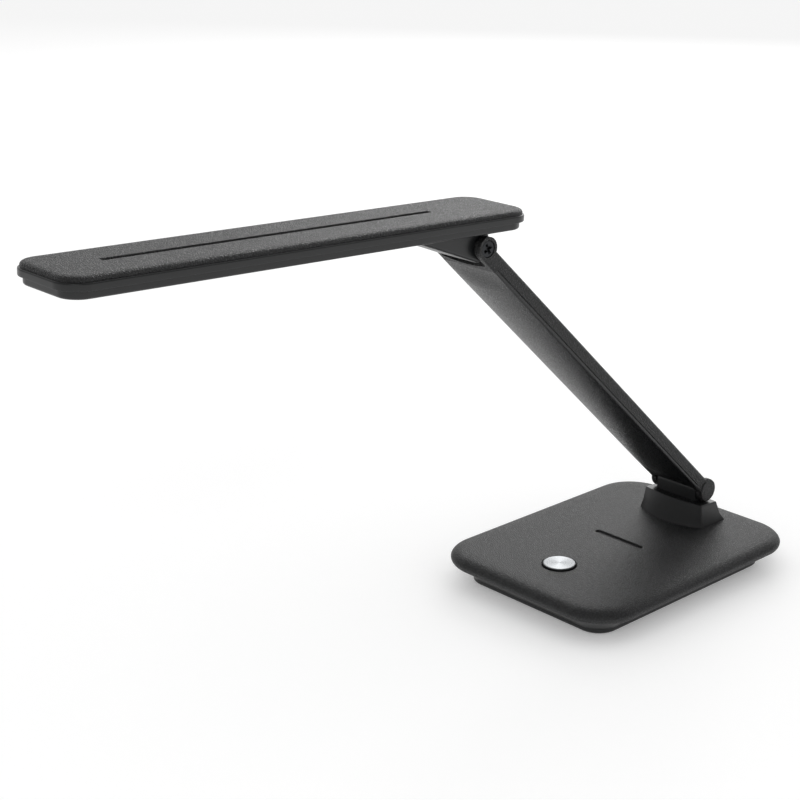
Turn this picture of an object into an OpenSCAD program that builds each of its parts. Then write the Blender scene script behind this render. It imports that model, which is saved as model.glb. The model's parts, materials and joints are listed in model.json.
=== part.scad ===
// Folding desk lamp with a flat light head, a flat arm and a weighted base.
// The origin is on the desk under the middle of the base. +X points to the tip of
// the head, +Y to the side where the head of the hinge screw shows, and +Z up.

/* [Base] */
// Length of the base, back to front
base_len = 177; // [170:1:200]
// Width of the base
base_w = 132; // [126:1:150]
// Height of the base top over the desk
base_h = 20.4; // [20.2:0.2:22]
// Corner radius of the base seen from above
base_r = 26.5; // [22:0.5:32]
// Depth of the rolled edge, in from the side
roll_in = 9; // [6:0.5:11]
// Inset of the lower tub at the desk
tub_in = 13.5; // [12:0.5:15]

/* [Controls] */
// Distance of the power button in front of the middle
btn_x = 50.8; // [46:0.2:54]
// Radius of the power button
btn_r = 9.36; // [8:0.02:11]
// Travel of the power button
btn_travel = 0.8; // [0.4:0.1:0.8]
// Length of the short groove across the base
slot_len = 35.4; // [20:0.2:44]
// Place of the short groove
slot_x = -1.4; // [-20:0.2:20]

/* [Arm] */
// Distance of the lower hinge behind the middle of the base
hinge_back = 60; // [56:0.5:64]
// Height of the lower hinge axis over the base top
hinge_up = 20.4; // [18:0.1:24]
// Length of the arm between the hinges
arm_len = 265.7; // [200:0.1:320]
// Width of the arm
arm_w = 38; // [36:0.5:38]
// Thickness of the arm
arm_t = 9; // [8.6:0.1:9.2]
// Angle of the arm over the desk
arm_angle = 43.2; // [40:0.1:70]
// Offset of the upper hinge behind the middle of the arm
arm_off = 1.6; // [1:0.1:2]

/* [Head] */
// Length of the head
head_len = 272.5; // [240:0.5:320]
// Width of the head
head_w = 47.5; // [46:0.5:56]
// Height of the head
head_h = 10.2; // [10:0.1:11]
// Upward tilt of the head
head_tilt = 2.9; // [0:0.1:6]
// Length of the head behind the upper hinge
head_back = 26.7; // [24:0.1:27]
// Height of the light panel over the upper hinge
head_up = 8.1; // [8.1:0.1:10]
// Corner radius of the head seen from above
head_r = 12; // [10:0.5:14]

/* [Hidden] */
$fn = 72;

black = "#26282a";
graphite = "#1d1e20";
steel = "#b9bcc0";
brushed = "#cfd1d3";
white = "#f2f2ee";
green = "#1f6b45";
copper = "#b4683a";

shell_z = base_h - 8.3;
wide_z = base_h - 4.7;
ceil_z = base_h - 2.6;
axis_z = base_h + hinge_up;
socket_y = 25;
socket_z = 7.6;
knuckle_y = 14.6;
ear_in = 15.4;
ear_low_out = arm_w / 2 - 1;
ear_up_out = arm_w / 2;
panel_mid = 141;
panel_l = 182;
panel_w = 34;
screw_xy = [[64, 38], [64, -38], [-64, 38], [-64, -38]];
board_xy = [[31, 23], [31, -23], [71, 23], [71, -23]];
bracket_xy = [[-4.2, 17], [-4.2, -17], [7, 17], [7, -17]];
lid_x0 = 12;
lid_x1 = arm_len - 12.6;
lid_n = -arm_t / 2 + 1.9;
head_screw_xy = [[12, 8], [12, -8], [31, 0]];
case_xy = [[-17.5, 14], [-17.5, -14], [237.5, 14], [237.5, -14]];

// ---------------------------------------------------------------- shapes

// Half profile of a slab: corner radius less inset, against height
function ring(r, prof) = concat([[0, prof[0][1]]], [for (p = prof) [r - p[0], p[1]]],
    [[0, prof[len(prof) - 1][1]]]);

// Slab with rounded corners, prof is [inset, z] from the bottom to the top
module slab(l, w, r, prof) {
    hx = l / 2 - r;
    hy = w / 2 - r;
    n = len(prof);
    rotate([90, 0, 90])
        linear_extrude(2 * hx, center = true)
            polygon(concat([for (p = prof) [w / 2 - p[0], p[1]]],
                [for (i = [n - 1:-1:0]) [p_in(prof[i], w), prof[i][1]]]));
    for (s = [0, 180])
        rotate([0, 0, s])
            translate([hx, 0, 0])
                rotate([90, 0, 0])
                    linear_extrude(2 * hy, center = true)
                        polygon(ring(r, prof));
    for (k = [0:3])
        translate([(k == 0 || k == 3) ? hx : -hx, (k < 2) ? hy : -hy, 0])
            rotate([0, 0, k * 90])
                rotate_extrude(angle = 90)
                    polygon(ring(r, prof));
}

// Far side of a symmetric slab section
function p_in(p, w) = -(w / 2 - p[0]);

// Plain slab between two heights
module block(l, w, r, z0, z1) {
    slab(l, w, r, [[0, z0], [0, z1]]);
}

// Cylinder along Y between two stations
module bar_y(r, y0, y1) {
    translate([0, y0, 0])
        rotate([-90, 0, 0])
            cylinder(r = r, h = y1 - y0);
}

// The same short cylinder on both sides of the middle plane
module pair_y(r, y0, y1) {
    bar_y(r, y0, y1);
    bar_y(r, -y1, -y0);
}

// Cylinder along X between two stations
module bar_x(r, x0, x1) {
    translate([x0, 0, 0])
        rotate([0, 90, 0])
            cylinder(r = r, h = x1 - x0);
}

// Upright cylinder between two heights
module post(r, z0, z1) {
    translate([0, 0, z0])
        cylinder(r = r, h = z1 - z0);
}

// Arc of points in a plane, for outlines
function arc(cx, cy, r, a0, a1, n) = [for (i = [0:n])
    [cx + r * cos(a0 + (a1 - a0) * i / n), cy + r * sin(a0 + (a1 - a0) * i / n)]];

// Frame of the arm: X runs up the arm, Z out of its back
module in_arm() {
    translate([-hinge_back, 0, axis_z])
        rotate([0, -arm_angle, 0])
            children();
}

// Frame of the upper hinge inside the arm
module at_top() {
    translate([arm_len, 0, arm_off])
        children();
}

// Frame of the head: X runs to the tip, Z out of its top, origin on the upper hinge
module in_head() {
    in_arm()
        at_top()
            rotate([0, arm_angle - head_tilt, 0])
                children();
}

// ---------------------------------------------------------------- base

shell_prof = concat(
    [for (t = [0:22.5:90]) [3.6 - 3.6 * sin(t), wide_z - 3.6 * cos(t)]],
    [for (t = [15:15:90]) [roll_in - roll_in * cos(t), wide_z + (base_h - wide_z) * sin(t)]]);

// Moulded top shell with a rolled edge, screw posts and a hole for the button
module base_shell() color(black) {
    difference() {
        slab(base_len, base_w, base_r, shell_prof);
        block(base_len - 18, base_w - 18, base_r - 9, 0, ceil_z);
        translate([btn_x, 0, 0])
            post(btn_r + 0.34, 0, 40);
        translate([slot_x, 0, base_h - 0.9]) {
            translate([-1, -slot_len / 2 + 1, 0])
                cube([2, slot_len - 2, 3]);
            for (s = [-1, 1])
                translate([0, s * (slot_len / 2 - 1), 0])
                    cylinder(r = 1, h = 3);
        }
        for (p = bracket_xy)
            translate([p[0] - hinge_back, p[1], 0])
                post(2.1, 10, 30);
        translate([2 - hinge_back, 0, 0])
            post(3, 10, 30);
    }
    for (p = screw_xy)
        translate([p[0], p[1], 0])
            difference() {
                post(4, 6.3, ceil_z + 0.2);
                post(1.45, 0, 14);
            }
    for (p = board_xy)
        translate([p[0], p[1], 0])
            difference() {
                post(2.6, 12.55, ceil_z + 0.2);
                post(1.05, 0, 17);
            }
    for (s = [-1, 1]) {
        translate([-42, s * 38, 0])
            post(3, 9.55, ceil_z + 0.2);
        translate([50, s * 38, 0])
            post(3, 9.55, ceil_z + 0.2);
    }
}

tub_prof = [[tub_in + 0.8, 1], [tub_in, 1.8], [tub_in, 3.6], [6, shell_z - 0.1]];
tub_hollow = [[tub_in + 2.4, 3.2], [tub_in + 2.4, 3.9], [8.9, shell_z - 0.4],
    [8.9, shell_z]];

// Lower tub: it flares out under the shell and carries the weight and the socket
module base_tub() color(graphite) {
    difference() {
        union() {
            difference() {
                slab(base_len, base_w, base_r, tub_prof);
                slab(base_len, base_w, base_r, tub_hollow);
            }
            difference() {
                block(base_len - 18.6, base_w - 18.6, base_r - 9.3, 9, 14);
                block(base_len - 22.6, base_w - 22.6, base_r - 11.3, 3.9, 20);
            }
            for (p = screw_xy)
                translate([p[0], p[1], 0])
                    post(4.6, 2.5, 6.2);
        }
        block(base_len - 2 * tub_in - 8, base_w - 2 * tub_in - 8, base_r - tub_in - 4,
            0, 1.8);
        for (p = screw_xy)
            translate([p[0], p[1], 0]) {
                post(3.1, 0, 3.8);
                post(1.6, 0, 9);
            }
        translate([-base_len / 2 - 10, socket_y - 7, 3.6])
            cube([10 + tub_in - 0.2, 14, 20]);
        translate([0, socket_y, socket_z])
            bar_x(4.1, -base_len / 2, -base_len / 2 + 18);
    }
    difference() {
        translate([-base_len / 2 + tub_in - 0.2, socket_y - 8, 2.6])
            cube([1.8, 16, shell_z - 2.7]);
        translate([0, socket_y, socket_z])
            bar_x(4.1, -base_len / 2, -base_len / 2 + 18);
    }
}

// Soft pad let into the underside, the only thing that touches the desk
module grip_pad() color(graphite)
    block(base_len - 2 * tub_in - 9, base_w - 2 * tub_in - 9, base_r - tub_in - 4.5, 0, 1.78);

// Steel plate that keeps the lamp standing
module ballast_plate() color(steel)
    block(116, 88, 5, 3.25, 9.5);

// Four screws that hold the tub to the shell
module base_screws() color(steel)
    for (p = screw_xy)
        translate([p[0], p[1], 0])
            difference() {
                union() {
                    post(2.8, 1.95, 3.75);
                    post(1.4, 3.7, 13);
                }
                cross_z(1.9, 1.9, 2.9);
            }

// Cross recess cut upwards from z0 to z1
module cross_z(r, z0, z1) {
    for (a = [0, 90])
        rotate([0, 0, a])
            translate([-r, -0.4, z0 - 1])
                cube([2 * r, 0.8, z1 - z0 + 1]);
}

// Circuit board of the touch dimmer, on posts under the shell
module control_board() color(green)
    difference() {
        translate([28, -27, 10.9])
            cube([46, 54, 1.6]);
        for (p = board_xy)
            translate([p[0], p[1], 0])
                post(1.15, 0, 20);
    }

// Parts soldered on the board: coil, two capacitors, driver, socket for the leads
module board_parts() color(graphite) {
    translate([36, 11, 12.5])
        cube([7, 7, 3]);
    translate([62, 14, 12.5])
        cylinder(r = 2.5, h = 3);
    translate([62, -14, 12.5])
        cylinder(r = 2.5, h = 3);
    translate([50, 14, 12.5])
        cube([5, 4, 1.5]);
    translate([29, -6, 12.5])
        cube([5, 12, 3]);
    translate([37, -18, 12.5])
        cube([3, 6, 1.2]);
}

module board_screws() color(steel)
    for (p = board_xy)
        translate([p[0], p[1], 0]) {
            post(2.1, 9.6, 10.85);
            post(1, 10.8, 16.4);
        }

// Momentary switch under the button
module tact_switch() color(graphite)
    translate([btn_x, 0, 0])
        difference() {
            translate([-3, -3, 12.5])
                cube([6, 6, 3.2]);
            post(1.87, 13, 17);
        }

module switch_plunger() color(graphite)
    translate([btn_x, 0, 0])
        post(1.75, 13.9, 16.55);

// Brushed metal button, held by its flange under the shell
module power_button() color(brushed)
    translate([btn_x, 0, 0])
        rotate_extrude()
            polygon([[0, 16.6], [2.2, 16.6], [2.2, 18.3], [6.5, 18.3], [6.5, 16.6],
                [btn_r + 1.2, 16.6], [btn_r + 1.2, 17.65], [btn_r, 17.65],
                [btn_r, base_h + 0.75], [btn_r - 0.25, base_h + 1], [0, base_h + 1]]);

// Low voltage inlet in the back wall
module dc_socket() color(graphite)
    translate([0, socket_y, socket_z]) {
        difference() {
            union() {
                bar_x(4, -base_len / 2 + tub_in - 0.1, -base_len / 2 + 17);
                translate([-base_len / 2 + 16.5, -4.5, -4.3])
                    cube([11.3, 9, 8.6]);
            }
            bar_x(2.85, -base_len / 2, -base_len / 2 + 25.5);
        }
        bar_x(1.05, -base_len / 2 + tub_in + 1, -base_len / 2 + 26);
    }

module supply_wires() color("#7a1f1f")
    for (y = [21.5, 24])
        translate([0, y, 11])
            bar_x(0.65, -base_len / 2 + 27.8, 27.95);

// Leads from the board to the hinge bracket
module lamp_wires() color("#d8d8d4")
    for (y = [-1.3, 1.3])
        translate([0, y, 11.7]) {
            bar_x(0.65, 2 - hinge_back, 27.95);
            translate([2 - hinge_back, 0, 0])
                sphere(r = 0.65, $fn = 24);
            translate([2 - hinge_back, 0, 0])
                post(0.65, 0, 17.5);
        }

// ---------------------------------------------------------------- lower hinge

// Outline of the bracket: straight sides, bowed front and back
function bow(b, front, bulge, back, swell) = concat(
    [for (i = [0:10]) let (y = -b + 2 * b * i / 10) [front + bulge * (1 - y * y / b / b), y]],
    [for (i = [0:10]) let (y = b - 2 * b * i / 10) [-back - swell * (1 - y * y / b / b), y]]);

module layer(z, pts) {
    translate([0, 0, z])
        linear_extrude(0.01)
            polygon(pts);
}

// Bracket on the base: a flared foot, a flat saddle and the middle knuckle
module hinge_bracket() color(graphite)
    translate([-hinge_back, 0, base_h])
        difference() {
            union() {
                hull() {
                    layer(0, bow(24.2, 10, 7.5, 11.4, 3));
                    layer(1, bow(23.9, 9.9, 7.2, 10.9, 2.8));
                    layer(5, bow(22.8, 9.5, 5.2, 8.2, 2));
                }
                hull() {
                    layer(5, bow(22.8, 9.5, 5.2, 8.2, 2));
                    translate([0, 0, hinge_up - 7.45])
                        rotate([0, -4.4, 0])
                            layer(0, bow(21.7, 8.9, 2.6, 5.5, 0.8));
                }
                translate([-6.6, -knuckle_y, 8])
                    cube([13.2, 2 * knuckle_y, hinge_up - 8]);
                translate([0, 0, hinge_up])
                    bar_y(6.9, -knuckle_y, knuckle_y);
            }
            translate([0, 0, hinge_up])
                bar_y(2.55, -30, 30);
            for (p = bracket_xy)
                translate([p[0], p[1], 0])
                    post(1.8, -1, 9);
            translate([2, 0, 0])
                post(3, -1, 10);
        }

module bracket_screws() color(steel)
    for (p = bracket_xy)
        translate([p[0] - hinge_back, p[1], 0])
            difference() {
                union() {
                    post(3.3, ceil_z - 2.1, ceil_z - 0.05);
                    post(1.75, ceil_z - 0.1, ceil_z + 11);
                }
                cross_z(2, ceil_z - 2.2, ceil_z - 1.1);
            }

// Flanged steel pin, peened at its far end
module lower_hinge_pin() color(steel)
    in_arm() {
        bar_y(2.5, -ear_low_out + 0.3, ear_low_out - 0.3);
        pair_y(4.4, ear_low_out - 1.05, ear_low_out - 0.05);
    }

module lower_hinge_washers() color(brushed)
    in_arm()
        difference() {
            pair_y(6, knuckle_y + 0.05, ear_in - 0.05);
            bar_y(2.6, -30, 30);
        }

// Smooth discs that close both ends of the lower hinge
module lower_hinge_caps() color(black)
    in_arm()
        for (s = [0, 180])
            rotate([0, 0, s])
                rotate([-90, 0, 0])
                    rotate_extrude()
                        polygon([[0, ear_low_out + 0.03], [6.7, ear_low_out + 0.03],
                            [6.7, arm_w / 2], [6.3, arm_w / 2 + 0.35],
                            [0, arm_w / 2 + 0.35]]);

// ---------------------------------------------------------------- arm

// Section of the arm: rounded more at the back than at the front
function arm_sec(w, t) = concat(
    arc(-w / 2 + 1.2, -t / 2 + 1.2, 1.2, 180, 270, 4),
    arc(w / 2 - 1.2, -t / 2 + 1.2, 1.2, 270, 360, 4),
    arc(w / 2 - 2, t / 2 - 2, 2, 0, 90, 5),
    arc(-w / 2 + 2, t / 2 - 2, 2, 90, 180, 5));

// Section of the front cover: its outer edges follow the arm, the seam is chamfered
function cover_sec(w, t, s) = concat(
    arc(-w / 2 + 1.2, -t / 2 + 1.2, 1.2, 180, 270, 4),
    arc(w / 2 - 1.2, -t / 2 + 1.2, 1.2, 270, 360, 4),
    [[w / 2, s - 0.3], [w / 2 - 0.3, s], [-w / 2 + 0.3, s], [-w / 2, s - 0.3]]);

// Opening of a fork, from station x0 outwards, with rounded inner corners
module fork(x0, r, s) {
    e = ear_in;
    translate([x0, 0, -15])
        mirror([s, 0, 0])
            linear_extrude(30)
                polygon(concat([[30, -e]], [[30, e]], arc(r, e - r, r, 90, 180, 6),
                    arc(r, -e + r, r, 180, 270, 6)));
}

// Opening of a fork whose bottom curves up towards both ears
module fork_arc(x0, k)
    translate([x0, 0, -15])
        linear_extrude(30)
            polygon(concat([[30, ear_in], [30, -ear_in]],
                [for (i = [-7:7]) [k * pow(i * ear_in / 7, 2), i * ear_in / 7]]));

// Back shell of the arm with the ears of both hinges
module arm_shell() color(black)
    in_arm()
        difference() {
            union() {
                rotate([90, 0, 90])
                    linear_extrude(arm_len)
                        polygon(arm_sec(arm_w, arm_t));
                pair_y(7, ear_in, ear_low_out);
                at_top()
                    pair_y(6.15, ear_in, ear_up_out);
            }
            fork(9.5, 3, 1);
            fork_arc(arm_len - 10.8, 0.0115);
            translate([14, -16.8, -arm_t])
                cube([arm_len - 31.7, 33.6, arm_t + 2.2]);
            translate([lid_x0, -arm_w, -arm_t])
                cube([lid_x1 - lid_x0, 2 * arm_w, arm_t + lid_n]);
            for (s = [-1, 1])
                translate([lid_x0, s * arm_w / 2, lid_n])
                    rotate([45, 0, 0])
                        translate([0, -0.25, -0.25])
                            cube([lid_x1 - lid_x0, 0.5, 0.5]);
            bar_y(2.55, -30, 30);
            pair_y(4.6, ear_low_out - 1.1, 30);
            pair_y(7, ear_low_out, 30);
            at_top() {
                bar_y(2.05, -30, 30);
                bar_y(4.5, ear_up_out - 1.9, 30);
                rotate([90, 0, 0])
                    translate([0, 0, ear_up_out - 2.3])
                        cylinder(r = 4.15, h = 10, $fn = 6);
            }
            for (y = [-3, 3])
                translate([0, y, -0.9])
                    bar_x(0.9, 2, arm_len - 2);
        }

// Cover over the whole front of the arm, with a rib that seats inside the shell
module arm_front_cover() color(black)
    in_arm() {
        translate([lid_x0 + 0.1, 0, 0])
            rotate([90, 0, 90])
                linear_extrude(lid_x1 - lid_x0 - 0.2)
                    polygon(cover_sec(arm_w, arm_t, lid_n - 0.05));
        translate([14 + (arm_len - 31.7) / 2, 0, 0])
            block(arm_len - 32.1, 33.2, 0.8, lid_n - 0.3, -2);
    }

// Steel strip that stiffens the arm
module arm_stiffener() color(steel)
    in_arm()
        translate([20, -12, 0.6])
            cube([arm_len - 44, 24, 1.55]);

module arm_wires() color("#d8d8d4")
    in_arm()
        for (y = [-3, 3])
            translate([0, y, -0.9])
                bar_x(0.7, 9.7, arm_len - 12.2);

// ---------------------------------------------------------------- upper hinge

// Pan head screw through both ears of the arm
module upper_hinge_screw() color(steel)
    in_arm()
        at_top()
            difference() {
                union() {
                    bar_y(2, -ear_up_out + 0.1, ear_up_out - 1.8);
                    rotate([-90, 0, 0])
                        rotate_extrude()
                            polygon([[0, ear_up_out - 1.85], [4, ear_up_out - 1.85],
                                [4, ear_up_out - 0.9], [3.3, ear_up_out - 0.5],
                                [0, ear_up_out - 0.3]]);
                }
                translate([0, ear_up_out, 0])
                    for (a = [0, 90])
                        rotate([0, a + 20, 0])
                            translate([-2.3, -1.3, -0.45])
                                cube([4.6, 3, 0.9]);
            }

module upper_hinge_nut() color(steel)
    in_arm()
        at_top()
            rotate([90, 0, 0])
                difference() {
                    translate([0, 0, ear_up_out - 2.25])
                        cylinder(r = 4.04, h = 2.15, $fn = 6);
                    cylinder(r = 2.03, h = 40);
                }

module upper_hinge_washers() color(brushed)
    in_arm()
        at_top()
            difference() {
                pair_y(5.8, knuckle_y + 0.05, ear_in - 0.05);
                bar_y(2.1, -30, 30);
            }

// ---------------------------------------------------------------- head

head_mid = head_len / 2 - head_back;
seam_z = head_up + head_h - 2.6;
step_z = seam_z - 3.6;
tongue_r = 8.1;
slope = 19.4;
rim = 1.8;
top_z = head_up + head_h;
cover_prof = concat([[0.35, seam_z], [0, seam_z + 0.35]],
    [for (t = [0:15:90]) [3.2 - 3.2 * cos(t), top_z - 2.1 + 2.1 * sin(t)]]);

// Grained top cover, a little larger than the tray under it
module head_cover() color(black)
    in_head() {
        difference() {
            translate([head_mid, 0, 0])
                slab(head_len, head_w, head_r, cover_prof);
            translate([head_mid, 0, 0])
                block(head_len - 5.2, head_w - 5.2, head_r - 2.6, 0, top_z - 1.4);
            translate([23.5, -0.9, top_z - 0.7])
                cube([191, 1.8, 3]);
        }
        for (p = case_xy)
            translate([p[0], p[1], 0])
                difference() {
                    post(2.4, head_up + 1.6, top_z - 1.3);
                    post(1.05, 0, head_up + 7);
                }
    }

// Smooth tray that carries the light panel: its upper rim is flush with the cover, and
// its lower part steps in
module head_tray() color(graphite)
    in_head()
        difference() {
            translate([head_mid, 0, 0])
                slab(head_len, head_w, head_r,
                    [[3.3, head_up], [2.5, head_up + 0.35], [2.2, head_up + 1.1],
                    [2.2, step_z], [0.4, step_z], [0, step_z + 0.4],
                    [0, seam_z - 0.4], [0.35, seam_z - 0.05]]);
            translate([head_mid, 0, 0]) {
                block(head_len - 7.4, head_w - 7.4, head_r - 3.7, head_up + 1.5, 40);
                block(head_len - 3.4, head_w - 3.4, head_r - 1.7, step_z + 1.6, 40);
            }
            translate([panel_mid, 0, 0])
                block(panel_l, panel_w, 2, 0, 20);
            for (p = head_screw_xy)
                translate([p[0], p[1], 0])
                    post(1.7, 0, 20);
            for (p = case_xy)
                translate([p[0], p[1], 0]) {
                    post(1.3, 0, 20);
                    post(2.5, 0, head_up + 0.8);
                }
            for (y = [-3, 3])
                translate([5, y, 0])
                    post(1, 0, 20);
        }

// Side outline of the tongue, drawn in by e: a sloping underside, a knuckle that winds
// in towards the back, and a top against the tray
function tongue(e) = concat(
    [[45, head_up + 1], [45, 45 * tan(slope) - (tongue_r - e) / cos(slope)]],
    [for (i = [0:13]) let (f = 270 + slope - 9 * i, r = tongue_r - e - 0.115 * i)
        [r * cos(f), r * sin(f)]],
    [[-2.6, head_up], [-2.6, head_up + 1]]);

// Sloping tongue under the head with rounded rims and the knuckle of the upper hinge
module head_bracket() color(graphite)
    in_head()
        difference() {
            intersection() {
                hull()
                    for (t = [0:30:90], m = [0, 1])
                        mirror([0, m, 0])
                            translate([0, knuckle_y - rim + rim * sin(t), 0])
                                rotate([90, 0, 0])
                                    linear_extrude(0.01)
                                        polygon(tongue(rim * (1 - cos(t))));
                translate([0, 0, -tongue_r - 1])
                    linear_extrude(tongue_r + 1 + head_up - 0.05)
                        polygon(concat([[-9, -knuckle_y]],
                            arc(45 - 8, -knuckle_y + 8, 8, 270, 360, 6),
                            arc(45 - 8, knuckle_y - 8, 8, 0, 90, 6),
                            [[-9, knuckle_y]]));
            }
            bar_y(2.05, -30, 30);
            for (p = head_screw_xy)
                translate([p[0], p[1], 0])
                    post(1.45, p[0] > 20 ? 4.4 : 0, 20);
            for (y = [-3, 3])
                translate([5, y, 0])
                    post(1, 4.6, 20);
        }

module head_bracket_screws() color(steel)
    in_head()
        for (p = head_screw_xy)
            translate([p[0], p[1], 0])
                difference() {
                    union() {
                        post(2.8, head_up + 1.55, head_up + 3.3);
                        post(1.4, p[0] > 20 ? 4.6 : 0.4, head_up + 1.6);
                    }
                    mirror([0, 0, 1])
                        cross_z(1.7, -head_up - 3.4, -head_up - 2.4);
                }

module head_case_screws() color(steel)
    in_head()
        for (p = case_xy)
            translate([p[0], p[1], 0])
                difference() {
                    union() {
                        post(2.3, head_up + 0.05, head_up + 0.78);
                        post(1, head_up + 0.7, head_up + 6);
                    }
                    cross_z(1.3, head_up, head_up + 0.5);
                }

// Light panel: board, two rows of lamps, white frame and opal window
module led_board() color(white)
    in_head()
        translate([panel_mid - 93, -19.5, top_z - 2.65])
            cube([186, 39, 1.2]);

module led_chips() color("#f4e27a")
    in_head()
        for (i = [0:19]) for (y = [-8, 8])
            translate([panel_mid + (i - 9.5) * 8.8 - 1.75, y - 1.4, top_z - 3.38])
                cube([3.5, 2.8, 0.7]);

module reflector_frame() color(white)
    in_head()
        translate([panel_mid, 0, 0])
            difference() {
                block(188, 39.6, 3, head_up + 2.6, top_z - 3.45);
                block(179, 31, 2, 0, 30);
            }

module diffuser() color(white)
    in_head()
        translate([panel_mid, 0, 0]) {
            block(panel_l - 0.4, panel_w - 0.4, 1.8, head_up + 0.15, head_up + 1.6);
            block(188, 39.6, 3, head_up + 1.55, head_up + 2.55);
        }

// Leads from the hinge to the light board
module head_wires() color("#d8d8d4")
    in_head()
        for (y = [-3, 3])
            translate([5, y, 0]) {
                post(0.6, 5, top_z - 2.2);
                translate([0, 0, top_z - 2.2])
                    sphere(r = 0.6, $fn = 24);
                translate([0, 0, top_z - 2.2])
                    bar_x(0.6, 0, panel_mid - 98.05);
            }

base_shell();
base_tub();
grip_pad();
ballast_plate();
base_screws();
control_board();
board_parts();
board_screws();
tact_switch();
dc_socket();
supply_wires();
lamp_wires();
hinge_bracket();
bracket_screws();
power_button();
switch_plunger();
arm_shell();
arm_front_cover();
arm_stiffener();
arm_wires();
lower_hinge_pin();
lower_hinge_washers();
lower_hinge_caps();
upper_hinge_screw();
upper_hinge_nut();
upper_hinge_washers();
head_cover();
head_tray();
head_bracket();
head_bracket_screws();
head_case_screws();
led_board();
led_chips();
reflector_frame();
diffuser();
head_wires();
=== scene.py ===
import json
import math

import bmesh
import bpy
from bpy.props import FloatProperty, FloatVectorProperty, PointerProperty
from bpy.types import Operator, Panel, PropertyGroup
from mathutils import Matrix, Vector


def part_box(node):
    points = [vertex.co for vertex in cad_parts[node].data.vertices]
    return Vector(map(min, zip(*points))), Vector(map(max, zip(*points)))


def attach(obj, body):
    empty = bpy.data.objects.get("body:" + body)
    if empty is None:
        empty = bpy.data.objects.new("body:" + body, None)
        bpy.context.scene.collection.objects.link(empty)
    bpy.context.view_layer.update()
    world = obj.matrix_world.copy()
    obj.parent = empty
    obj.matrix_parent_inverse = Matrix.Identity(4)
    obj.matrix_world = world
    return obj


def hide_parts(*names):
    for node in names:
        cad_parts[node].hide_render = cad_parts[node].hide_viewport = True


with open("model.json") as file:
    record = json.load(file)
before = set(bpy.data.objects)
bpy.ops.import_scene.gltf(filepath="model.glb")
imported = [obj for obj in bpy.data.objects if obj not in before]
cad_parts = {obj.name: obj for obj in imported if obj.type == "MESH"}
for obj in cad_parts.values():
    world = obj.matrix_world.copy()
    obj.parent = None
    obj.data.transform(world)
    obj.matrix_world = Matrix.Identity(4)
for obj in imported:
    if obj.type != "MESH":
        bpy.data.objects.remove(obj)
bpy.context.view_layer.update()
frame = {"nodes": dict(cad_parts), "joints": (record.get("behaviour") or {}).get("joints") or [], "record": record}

bl_info = {
    "name": "Folding Desk Lamp",
    "version": (1, 0, 0),
    "blender": (4, 5, 0),
    "location": "View3D > Sidebar > Desk Lamp",
    "description": "Models the covers, hinges, finishes and studio of a folding desk lamp",
    "category": "Object",
}

LOWER = next(Vector(joint["pos_m"]) for joint in frame["joints"]
             if joint["name"] == "arm_fold")
SLOTS = {part["node"]: part["material_slot"] for part in frame["record"]["subparts"]}
MM = 0.001
MERGE = 0.0005       # vertices closer than this are one, in millimetres
CREASE = 38          # edges sharper than this are shaded as sharp, in degrees
SHARP = 40           # edges of a frame node sharper than this are rounded, in degrees


def pairs(xs, half):
    """Places in pairs, one on each side of the middle line."""
    return [(x, y) for x in xs for y in (half, -half)]


# All in millimetres.
EDGE_RISE = 4.7      # base top above the widest line of its edge
EDGE_DROP = 3.6      # that line above the seam with the tub
SHELL_WALL = 2.6     # wall of the base shell
PAD_MARGIN = 18      # base outside its pad
COVER_DEPTH = 2.6    # head cover, top to seam
COVER_WALL = 1.4     # wall of the head cover at its top
COVER_INSET = 0.95   # head cover in from the edge of its tray
COVER_START = 12.1   # lower hinge to the near end of the arm cover
COVER_END = 12.7     # far end of the arm cover to the upper hinge
FADE = 18.0          # length over which the crown of the arm cover dies out
BASE_SCREWS = pairs((64, -64), 38)
BRACKET_SCREWS = pairs((-64.2, -53), 17)
BOARD_SCREWS = pairs((31, 71), 23)
PLATE_POSTS = pairs((-42, 50), 38)
HEAD_SCREWS = pairs((-17.5, 237.5), 14)


# ---------------------------------------------------------------- values

def linear(code):
    """A colour written as sRGB hex, turned to linear light."""
    parts = [int(code[i:i + 2], 16) / 255 for i in (1, 3, 5)]
    return tuple(c / 12.92 if c <= 0.04045 else ((c + 0.055) / 1.055) ** 2.4
                 for c in parts)


def span(node, axis):
    """Size of a frame node along one axis at rest, in metres."""
    low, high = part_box(node)
    return high[axis] - low[axis]


def size(label, note, default):
    """A length in metres for the panel."""
    return FloatProperty(name=label, description=note, default=default, min=0.0,
                         precision=5, subtype="DISTANCE", unit="LENGTH")


def tint(label, note, code):
    """A colour for the panel."""
    return FloatVectorProperty(name=label, description=note, default=linear(code),
                               size=3, min=0.0, max=1.0, subtype="COLOR")


class LampBaseSizes(PropertyGroup):
    """Sizes of the weighted base."""
    length: size("Length", "Base, back to front", span("base_shell", 0))
    width: size("Width", "Base, side to side", span("base_shell", 1))
    top: size("Top", "Height of the base top over the desk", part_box("base_shell")[1][2])
    corner: size("Corner", "Corner radius seen from above", 0.0265)
    roll: size("Roll", "Depth of the rolled edge, in from the side", 0.0108)
    button: size("Button", "Radius of the power button", 0.00936)
    button_ahead: size("Button place", "Button in front of the middle", 0.0508)
    groove: size("Groove", "Length of the short groove", 0.0354)


class LampArmSizes(PropertyGroup):
    """Sizes of the arm and its hinges."""
    length: size("Length", "Between the two hinges, along the arm", 0.2657)
    width: size("Width", "Arm, side to side", span("arm_shell", 1))
    thickness: size("Thickness", "Arm, front to back", 0.009)
    offset: size("Hinge offset", "Upper hinge behind the middle of the arm", 0.0016)
    angle: FloatProperty(name="Angle", description="Arm over the desk at rest",
                         default=math.radians(43.2), subtype="ANGLE", unit="ROTATION")


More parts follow.
